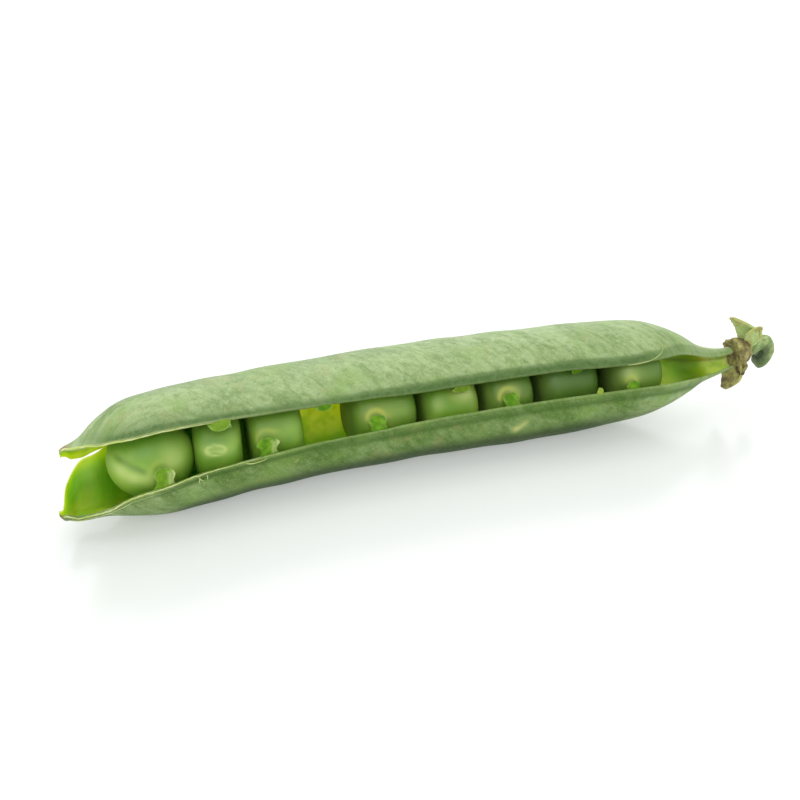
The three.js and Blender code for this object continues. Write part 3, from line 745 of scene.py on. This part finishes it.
def skin_marks(side, x, arc, left, inside):
    """How much the skin has of each colour at each point: grey wax that is partly real and partly painted
    sheen, the painted shades of rim_colour, pale and dry edges, and scratches."""
    tip = x.min()
    outside = inside < 0.5
    back_edge = 0.5 * (np.arange(x.shape[1]) >= 2 * ARC_POINTS + EDGE_POINTS)
    lip_shade, painted_shade, groove = rim_colour(side, x, left)
    if side == UPPER:
        pale = smooth(left, 0.1, 0.0) * (0.1 + 0.25 * smooth(x, -12, -26))
        pale = pale + 0.5 * smooth(x, 34, 41) * smooth(left, 0.6, 2.0) * outside
        dry = smooth(x, tip + 1.5, tip + 0.2) * outside
        # upper valve: wax with painted sheen, less on the far left top, which is darker in painted shade
        bloom = 0.85 - 0.4 * smooth(left, 4, 7) * smooth(x, 6, -12)
    else:
        pale = smooth(left, 0.1, 0.0) * 0.1
        dry = 0.7 * smooth(x, tip + 0.7, tip)
        painted_shade = painted_shade * smooth(arc, 3, 9)
        # lower valve: wax with less painted sheen than the upper one, more at its back and near both ends
        bloom = 0.15 + 0.5 * smooth(arc, 9, 3) + 0.75 * smooth(x, 22, 34)
        bloom = bloom + 0.6 * smooth(x, -20, -34) * smooth(x, -39, -34)
    pale = np.clip(pale + back_edge * smooth(x, -33, -35), 0, 1)
    scuff = np.zeros_like(left)
    for valve, middle, down, long, wide, lean, plain in SCRATCHES:
        if valve == side:
            across = left - down + lean * (x - middle)
            scuff += plain * bell(x, middle, long) * bell(across, 0, wide) * outside
    marks = dict(run_mm=x, arc_mm=arc * side, bloom=bloom, lip_shade=lip_shade, painted_shade=painted_shade)
    return dict(marks, groove=groove, pale=pale, dry=dry, scuff=scuff)


def lining_marks(x, y, z):
    """How much painted light, coming through the thin wall, the lining has at each point, and how much
    painted shade where the peas hide it and by the neck.
    """
    # painted light coming through the wall, stronger towards the back, in the stem hollow and at the tip
    empty = empty_place(x) * (0.15 + 0.85 * smooth(y, 2.0, 5.5))
    empty = empty + 0.9 * bell(x, 33.8, 2.0) + 0.6 * smooth(x, 38.0, 39.5)
    empty = empty + 0.5 * bell(x, -35.8, 1.4) * bell(z, 6.5, 2.0)
    # painted shade on the lining where the peas hide it, and by the neck
    lining_shade = smooth(x, -27, -17) * smooth(x, 32.5, 31) * (1 - empty_place(x))
    return {"empty": empty, "lining_shade": 0.4 * lining_shade + 0.3 * bell(x, 36.8, 1.0)}


def valve_piece(side, name):
    """One valve as a closed thin sheet, with skin outside and lining inside."""
    tip = valve_table(side)[0][0]
    share = np.linspace(0, 1, VALVE_ROWS)
    x = tip + (NECK_END - tip) * (0.35 * share**2 + 0.65 * share) ** 1.12
    rings, arc, left, inside = valve_sheet(side, x)
    here = x[:, None] + 0 * left
    marks = skin_marks(side, here, arc, left, inside)
    marks.update(lining_marks(here, rings[..., 1], rings[..., 2]))
    skin = SKIN if side == UPPER else SKIN_BELOW
    piece = lofted_piece(name, rings, skin, "pod_skin", **marks)
    piece.data.materials.append(LINING)
    columns = rings.shape[1]
    ringed = len(x) * columns
    for face in piece.data.polygons:
        spots = [v % columns for v in face.vertices if v < ringed]
        face.material_index = 1 if all(spot >= ARC_POINTS + EDGE_POINTS for spot in spots) else 0
    return piece


def seam_rib():
    """The low rib that joins the valves along the back."""
    x = np.linspace(SPLIT_X, NECK_END, 240)
    oval = Oval(UPPER, x)
    radius = np.minimum(RIB_RADIUS, oval.depth * 0.3)
    route = oval.point(oval.start, radius * 0.6)
    none = dict.fromkeys(("lip_shade", "painted_shade", "groove", "scuff", "dry", "arc_mm"), 0)
    return tube("back_seam_rib", route, radius, SKIN, 20, run_mm=x, pale=0.25, bloom=0.7, **none)


def rim_strand(ending, side, start, stop, radius, past, under, thins):
    """The fibre that lies along a rim, from start to stop, thinning away towards its end."""
    x = np.linspace(start, stop, 260)
    oval = Oval(side, x)
    stray = 0.05 * wobble(x, side * 3.0, past, 1.6) + 0.04 * wobble(x, side * 7.0, past, 0.5)
    shift = np.degrees((past + stray) / oval.radius)
    route = oval.point(oval.edge() + shift, under + stray)
    share = (x - start) / (stop - start)
    thin = 1 - (1 - thins) * smooth(share, 0.1, 1.0)
    ends = np.sqrt(np.clip(np.minimum(share, 1 - share) / 0.01, 0.04, 1))
    width = radius * thin * ends * (1 + 0.25 * wobble(x, side * 2.0, past, 1.0))
    green = smooth(share, 0.45, 1.0)
    return tube(f"rim_strand_{ending}", route, width, RIM_FIBRE, 8, green=green)


# Strands along the rims: the end of the name, valve, x of the start and the stop, radius, millimetres
# past the rim, millimetres under the skin, and the share of the radius that is left at the stop.
STRANDS = [
    ("upper", UPPER, -38.2, -16.0, 0.11, 0.12, 0.08, 0.3),
    ("lower", LOWER, -39.2, -4.0, 0.08, 0.1, 0.06, 0.35),
    ("lower_2", LOWER, -38.4, -27.0, 0.05, -0.3, -0.03, 0.4),
]
# frays of the rim: valve, then x, millimetres past the rim and millimetres under the skin of each spot
FRAY_RADIUS = 0.06
FRAYS = [
    (LOWER, [(-25.4, 0.0, 0.1), (-25.2, -0.25, -0.1), (-25.0, -0.45, -0.16), (-24.8, -0.5, -0.25)]),
    (LOWER, [(-25.2, -0.2, -0.08), (-25.3, -0.4, -0.2), (-25.4, -0.6, -0.2)]),
    (LOWER, [(-24.5, 0.0, 0.1), (-24.4, -0.3, -0.12), (-24.5, -0.5, -0.2)]),
    (LOWER, [(-20.6, 0.1, 0.1), (-19.6, -0.2, -0.1), (-18.3, -0.18, -0.08), (-17.4, 0.05, 0.05)]),
    (UPPER, [(-28.3, 0.1, 0.08), (-27.6, 0.16, -0.04), (-26.8, 0.14, -0.06), (-26.2, 0.05, 0.06)]),
    (UPPER, [(-21.8, 0.0, 0.2), (-21.4, 0.35, 0.25), (-21.1, 0.75, 0.35), (-21.3, 1.0, 0.4)]),
    (UPPER, [(25.8, 0.1, 0.05), (27.2, 0.15, 0.0), (28.6, 0.05, -0.02), (29.6, -0.3, -0.05),
             (30.2, -0.8, -0.06), (30.4, -1.3, -0.05)]),
]


def fray(number, side, spots):
    """A hair of rim fibre that has come loose."""
    x, past, under = curve_through(spots, 24).T
    oval = Oval(side, x)
    route = oval.point(oval.edge() + np.degrees(past / oval.radius), under)
    share = np.linspace(0, 1, len(x))
    width = FRAY_RADIUS * (1 - 0.6 * share**2)
    return tube(f"rim_fray_{number}", route, width, RIM_FIBRE, 6, green=0.35 * share)


# ------------------------ peas and their stalks


def turned(axis, degrees):
    """The matrix that turns points round an axis."""
    return np.array(Matrix.Rotation(math.radians(degrees), 3, axis))


def pea_middle(pea):
    """The middle of a pea, from that of the pod's oval there."""
    y, z = along(BODY, pea.x)[0, :2]
    return np.array([pea.x, y - pea.front, z - SINK - pea.below])


def side_of(place):
    """The valve whose rim bears the stalk of that place."""
    return LOWER if place % 2 else UPPER


def stalk_route(side, pea, stalk, count):
    """The middle line of a stalk, from its root under the rim to its end, and the way out at each spot."""
    share = np.linspace(0, 1, count)
    oval = Oval(side, np.full(count, float(stalk.x)))
    if pea is None:
        under = STALK_SINK + (STALK_HANG_DEPTH - STALK_SINK) * smooth(share, 0, 0.5)
        route = oval.point(oval.stop - STALK_INSET + (STALK_INSET + stalk.hang) * share, under)
        middle = np.array([stalk.x, oval.y[0], oval.z[0]])
    else:
        root = oval.point(oval.stop - STALK_INSET, STALK_SINK)[0]
        middle = pea_middle(pea)
        middle[0] = stalk.x
        nearer = stalk.x + np.clip(pea.x - stalk.x, -STALK_FLARE, STALK_FLARE)
        squeezed = min(abs(nearer - pea.x) / pea.half, 1) ** (2 / pea.square)
        reach = pea.radius * (1 - squeezed) ** (pea.square / 2) + STALK_GAP + STALK_THICK
        spoke = root - middle
        length = np.linalg.norm(spoke)
        climbs = stalk.climb * side * share * STALK_STRETCH
        ways = [turned("X", degrees) @ (spoke / length) for degrees in climbs]
        reaches = length + (reach - length) * smooth(share, 0, 1)
        route = middle + np.array(ways) * reaches[:, None]
    out = route - middle
    out[:, 0] = 0
    return route, unit(out)


def stalk_piece(name, side, pea, stalk):
    """A stalk: wide on the rim, narrow at its waist, with a domed head that clasps the pea."""
    route, out = stalk_route(side, pea, stalk, STALK_ROWS)
    share = np.linspace(0, 1, STALK_ROWS)
    turn = even_turns(STALK_COLUMNS)
    lateral, facing = np.cos(turn), np.sin(turn)
    hangs = stalk.hang > 0
    dome = STALK_INSET / (STALK_INSET + stalk.hang) if hangs else 0.6
    rounded = np.sqrt(np.clip(1 - (np.clip(share - dome, 0, 1) / (1.01 - dome)) ** 2, 0, 1))
    waist = stalk.head if hangs else min(STALK_WAIST, stalk.head)
    wide = waist + STALK_SPLAY * (1 - smooth(share, 0, 0.4))
    wide = wide + (stalk.head - waist) * smooth(share, 0.45, 0.75)
    thick = STALK_THICK * (1 + 0.3 * (1 - share)) * (1 - 0.45 * smooth(share, 0.5, 1.0))
    ragged = 1 + 0.07 * wobble(lateral[None] * 3, facing[None], share[:, None] * 6 + stalk.x, 1.3)
    across = (wide * rounded)[:, None] * lateral[None] * ragged
    dish = 0.22 * (lateral**2)[None] * smooth(share, 0.35, 0.9)[:, None] - 0.06
    height = thick[:, None] * facing[None] * np.sqrt(np.clip(rounded, 0.15, 1))[:, None] + dish
    rings = route[:, None] + across[..., None] * np.array([1.0, 0, 0]) + out[:, None] * height[..., None]
    edge = smooth(np.abs(lateral), 0.8, 1.0)[None] * smooth(share, 0.35, 0.7)[:, None]
    end = smooth(share, 0.92, 0.99)[:, None]
    frill = smooth(lateral, 0.0, 0.7) * (0.65 + 0.35 * np.cos(14 * lateral))
    frilled = stalk.foot * np.outer(smooth(share, 0.25, 0.4) * smooth(share, 0.95, 0.7), frill)
    pale = np.clip(0.3 * edge + 0.2 * end + frilled, 0, 1)
    return lofted_piece(name, rings, STALK_FLESH, "pod_skin", pale=pale, yellow=stalk.yellow)


def distance_to_segment(points, start, end):
    """How far each point is from the straight line between two others."""
    start, end = np.array(start), np.array(end)
    way = end - start
    share = np.clip((points - start) @ way / (way @ way), 0, 1)
    return np.linalg.norm(points - start - share[..., None] * way, axis=-1)


def bare_scar(shape):
    """How pale the bare scar makes each point of the second pea, and how far its ring stands up there:
    an oval ring with a line along it, on the side of the pea that faces the mouth."""
    out = unit(np.array(BARE_SCAR))
    across = np.cross((1.0, 0, 0), out)
    gap = shape - np.array(BARE_SCAR)
    u, v = gap[..., 0] / BARE_SCAR_HALF[0], gap @ across / BARE_SCAR_HALF[1]
    size = np.hypot(u, v)
    near = (shape @ out > 0) * 1.0
    ring = bell(size, 1.0, BARE_SCAR_LINE) + 0.8 * bell(v, 0, BARE_SCAR_LINE) * smooth(size, 1.0, 0.7)
    pale = np.clip(0.8 * ring + 0.3 * smooth(size, 2.2, 1.0), 0, 1)
    return near * pale, near * 0.04 * bell(size, 1.0, 0.25)


def pea_marks(pea, shape):
    """How pale each point of a pea is, with pale marks and painted highlights, how much painted shade of
    its crease it has, and how far its skin stands up there.
    """
    pale, groove = np.zeros(shape.shape[:2]), np.zeros(shape.shape[:2])
    lift = 0.05 * wobble(*np.moveaxis(shape, -1, 0), 3.4, pea.place)
    for owner, middle, reach, paleness, height in PEA_SWELLINGS_AND_HIGHLIGHTS:
        if owner == pea.place:
            near = bell(np.linalg.norm(shape - np.array(middle), axis=-1), 0, reach)
            pale += paleness * near
            lift += height * near
    # the first pea's crease: a shallow dip with painted shade in it
    if pea.place == 1:
        line = bell(distance_to_segment(shape, *CREASE), 0, CREASE_REACH)
        lift -= CREASE_DEPTH * line
        groove += 0.6 * line
    elif pea.place != 5:
        # painted light on the end towards the tip, which lies in shade against its neighbour
        pale += 0.25 * smooth(shape[..., 0], -0.8 * pea.half, -pea.half)
    if pea.place == 2:
        ring, ridge = bare_scar(shape)
        pale += ring
        lift += ridge
    return np.clip(pale, 0, 1), groove, lift


def stalk_halo(pea, points):
    """How much each point shows the mark round the head of the pea's stalk."""
    stalk = STALKS[pea.place - 1]
    route = stalk_route(side_of(pea.place), pea, stalk, 11)[0]
    head = route[7]
    past = (points - head) @ unit(route[-1] - route[0])
    near = np.linalg.norm(points - head, axis=-1)
    ring = bell(near, stalk.head + 0.3, 0.26) * smooth(past, -0.3, 0.4)
    return stalk.mark * (ring + 0.3 * bell(near, 0, 2.0))


def pea_piece(pea):
    """One pea: squeezed where its neighbours press it, with the marks of its own."""

    def power(value):
        return np.sign(value) * np.abs(value) ** pea.square

    turn = np.pi * (np.arange(PEA_ROWS) + 0.5) / PEA_ROWS
    around = even_turns(PEA_COLUMNS)
    wide = pea.radius * power(np.sin(turn))[:, None]
    long = -pea.half * power(np.cos(turn))[:, None]
    shape = np.stack(np.broadcast_arrays(long, wide * np.cos(around), wide * np.sin(around)), -1)
    pale, groove, lift = pea_marks(pea, shape)
    middle = pea_middle(pea)
    rings = (shape + unit(shape) * lift[..., None]) @ turned("Z", pea.lean).T + middle
    marks = dict(pale=pale, groove=groove, deep=pea.deep, halo=stalk_halo(pea, rings))
    marks["up"] = (rings - middle)[..., 2] / pea.radius
    return lofted_piece(f"pea_{pea.place}_skin", rings, PEA_SKIN, "pea", **marks)


# ------------------------ calyx and pedicel


def soften(piece):
    """Subdivides a piece once."""
    finer = piece.modifiers.new("finer", "SUBSURF")
    finer.levels = finer.render_levels = 1
    return piece


def cup_piece():
    """The calyx cup, ribbed and a little crumpled, open towards the pod."""
    rises = (0.35, 0.1, 0.0, 0.12, 0.45, 0.95, 1.45, 1.9, 2.2, CUP_LENGTH + 0.25)
    radii = [1.1, 1.5, *[CUP_RADIUS * share for share in (0.86, 0.98, 1.0, 0.97, 0.88)]]
    radii += [CUP_FOOT_RADIUS * share for share in (1.3, 1.0, 0.85)]
    turn = even_turns(72)
    rings = []
    for rise, radius in zip(rises, radii):
        crumple = wobble(np.cos(turn) * 2, np.sin(turn) * 2, rise, 1.3)
        size = radius * (1 + 0.045 * np.cos(CUP_VEINS * turn) + 0.05 * crumple)
        x = np.full_like(turn, CUP_START + rise)
        rings.append(np.stack([x, CUP_Y + size * np.cos(turn), CUP_Z + size * np.sin(turn)], -1))
    marks = dict(dryness=CUP_DRYNESS, vein=np.cos(CUP_VEINS * turn))
    return soften(lofted_piece("calyx_cup", np.array(rings), CALYX_LEAF, "calyx", **marks))


def sepal_piece(number, turn, length, half, lean, back, twist, dryness):
    """One sepal: a thin withered leaf, cupped along its midrib and crumpled."""
    angle = math.radians(turn)
    up = np.array([0, -math.sin(angle), math.cos(angle)])
    flat = np.array([0, math.cos(angle), math.sin(angle)])
    forward = np.array([-1.0, 0, 0])
    across = flat * math.cos(math.radians(twist)) + forward * math.sin(math.radians(twist))
    foot = np.array([CUP_START + SEPAL_FOOT, CUP_Y, CUP_Z])
    rows, columns = 26, 15
    share = np.linspace(0, 1, rows)
    side = np.linspace(-1, 1, columns)
    width = half * (0.65 + 0.35 * np.sin(np.pi * share)) * (1 - 0.72 * share**4)
    reach = SEPAL_ROOT + (length - SEPAL_ROOT) * share
    bend = (lean + back) * share**2.5 - back - 0.25 * np.sin(np.pi * share)
    spine = foot + np.outer(reach, up) + np.outer(bend, forward)
    crumple = 0.3 * wobble(share[:, None] * 4, side[None] * 2, number * 7.0, 1.1) * share[:, None]
    curl = 0.3 * width[:, None] * side[None] ** 2 + crumple
    ragged = 1 + 0.12 * wobble(share[:, None] * 9, np.sign(side)[None] * 3, number * 3.0, 1.0)
    sheet = spine[:, None] + across * (width[:, None] * side[None] * ragged)[..., None]
    sheet = sheet + forward * curl[..., None]
    faces = grid_faces(rows, columns, closed=False)
    veins = np.abs(np.cos(side[None] * 2.5 * np.pi)) + 0 * share[:, None]
    drier = dryness + 0.3 * share[:, None] ** 2 + 0 * side[None]
    name = f"calyx_sepal_{number}"
    piece = new_piece(name, sheet.reshape(-1, 3), faces, CALYX_LEAF, "calyx", dryness=drier, vein=veins)
    solid = piece.modifiers.new("thickness", "SOLIDIFY")
    solid.thickness = SEPAL_THICK * MM
    solid.offset = 0
    return soften(piece)


def pedicel_piece():
    """The stub of stem, hooked over behind the calyx and cut."""
    route = curve_through(PEDICEL_ROUTE, 60)
    turn = even_turns(40)
    around = ways_out(route, turn)
    share = np.linspace(0, 1, len(route))
    radius = PEDICEL_RADIUS * (PEDICEL_NECK + (1 - PEDICEL_NECK) * smooth(share, 0, 0.6))
    radius = radius * (1 - 0.25 * smooth(share, 0.96, 1.0))
    lumps = wobble(share[:, None] * 8, np.cos(turn)[None] * 2, 0.0, 1.2)
    ribs = 1 + 0.05 * np.cos(PEDICEL_RIBS * turn)[None] + 0.04 * lumps
    rings = route[:, None] + around * (radius[:, None] * ribs)[..., None]
    inward = unit(np.array(PEDICEL_HOLLOW) - route)
    facing = np.einsum("ijk,ik->ij", around, inward)
    marks = dict(share=share[:, None], vein=np.cos(2 * PEDICEL_RIBS * turn))
    # painted shade on the side that faces into the hook
    marks["painted_shade"] = smooth(facing, -0.2, 0.7) * smooth(share[:, None], 0.15, 0.4)
    return lofted_piece("pedicel_stub", rings, PEDICEL_SKIN, "pedicel", **marks)


# ------------------------ stage, light and camera

AZIMUTH = -21  # degrees round from -Y towards +X, so the camera stands a little to the left
ELEVATION = 29
DISTANCE = 118
TARGET = (0, 0, 6.5)
LENS = 45  # on Blender's 36 mm sensor
TABLE_HALF = 1.5  # metres
# softboxes: name, bearing, degrees up, metres away, metres wide, brightness
SOFTBOXES = [
    ("overhead", 10, 84, 0.9, 0.7, 1.2),
    ("front", 180 - AZIMUTH, 42, 0.9, 0.35, 2.4),
    ("left", 238, 32, 0.9, 0.35, 1.6),
    ("behind", -AZIMUTH, 38, 1.0, 1.2, 0.9),
]


def stage_floor():
    """A white, slightly glossy table that glows a little, as a light table does."""
    s = Shader("white_table")
    grain = s.noise(s.place(), 0.02, 2, 0.5)
    s.set(Base_Color=s.mix(grain, linear(181, 184, 182), linear(185, 187, 186)), Roughness=0.22)
    s.set(Emission_Color=s.mix(grain, linear(250, 253, 250), linear(252, 254, 252)), Emission_Strength=0.36)
    corners = [(-1, -1), (1, -1), (1, 1), (-1, 1)]
    mesh = bpy.data.meshes.new("table")
    mesh.from_pydata([(x * TABLE_HALF, y * TABLE_HALF, 0) for x, y in corners], [], [(0, 1, 2, 3)])
    mesh.materials.append(s.material)
    add_object("table", mesh)


def way_to(bearing, height):
    """The way out at a bearing, in degrees from +Y towards +X, and so many degrees up."""
    turn, rise = math.radians(bearing), math.radians(height)
    return Vector((math.sin(turn) * math.cos(rise), math.cos(turn) * math.cos(rise), math.sin(rise)))


def look_back(made, place, way):
    """Puts a light or camera at a place, looking back along the way that leads there."""
    made.location = place
    made.rotation_mode = "QUATERNION"
    made.rotation_quaternion = (-way).to_track_quat("-Z", "Y")


def softbox(name, bearing, height, distance, size, radiance):
    """A square softbox aimed at the pod."""
    light = bpy.data.lights.new(name, "AREA")
    light.shape = "SQUARE"
    light.size = size
    light.energy = math.pi * size * size * radiance
    way = way_to(bearing, height)
    look_back(add_object(name, light), way * distance, way)


def studio():
    """Pale surroundings, a softbox overhead, small ones in front and to the left, a broad one behind."""
    world = bpy.data.worlds.new("studio")
    world.use_nodes = True
    background = world.node_tree.nodes["Background"].inputs
    background["Color"].default_value = (1, 1, 1, 1)
    background["Strength"].default_value = 0.9
    bpy.context.scene.world = world
    for values in SOFTBOXES:
        softbox(*values)
    bpy.context.scene.view_settings.view_transform = "Standard"


def camera():
    """The photograph's viewpoint."""
    lens = bpy.data.cameras.new("camera")
    lens.lens = LENS
    lens.clip_start = 0.005
    way = way_to(180 - AZIMUTH, ELEVATION)
    made = add_object("camera", lens)
    look_back(made, (Vector(TARGET) + way * DISTANCE) * MM, way)
    bpy.context.scene.camera = made


# ------------------------ putting it together

camera()
studio()
stage_floor()

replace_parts(valve_piece(UPPER, "valve_upper"), "pod_shell")
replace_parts(valve_piece(LOWER, "valve_lower"), "pod_shell")
seam_rib()
for strand in STRANDS:
    rim_strand(*strand)
for number, (side, spots) in enumerate(FRAYS, 1):
    fray(number, side, spots)
for pea in PEAS:
    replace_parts(pea_piece(pea), f"pea_{pea.place}")
held = {pea.place: pea for pea in PEAS}
for stalk in STALKS:
    pea = None if stalk.hang else held[stalk.place]
    stalk_piece(f"pea_stalk_{stalk.place}", side_of(stalk.place), pea, stalk)
stalk_piece("bare_stalk_stub", LOWER, None, BARE_STUB)
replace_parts(cup_piece(), "calyx")
for number, sepal in enumerate(SEPALS, 1):
    sepal_piece(number, *sepal)
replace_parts(pedicel_piece(), "pedicel")
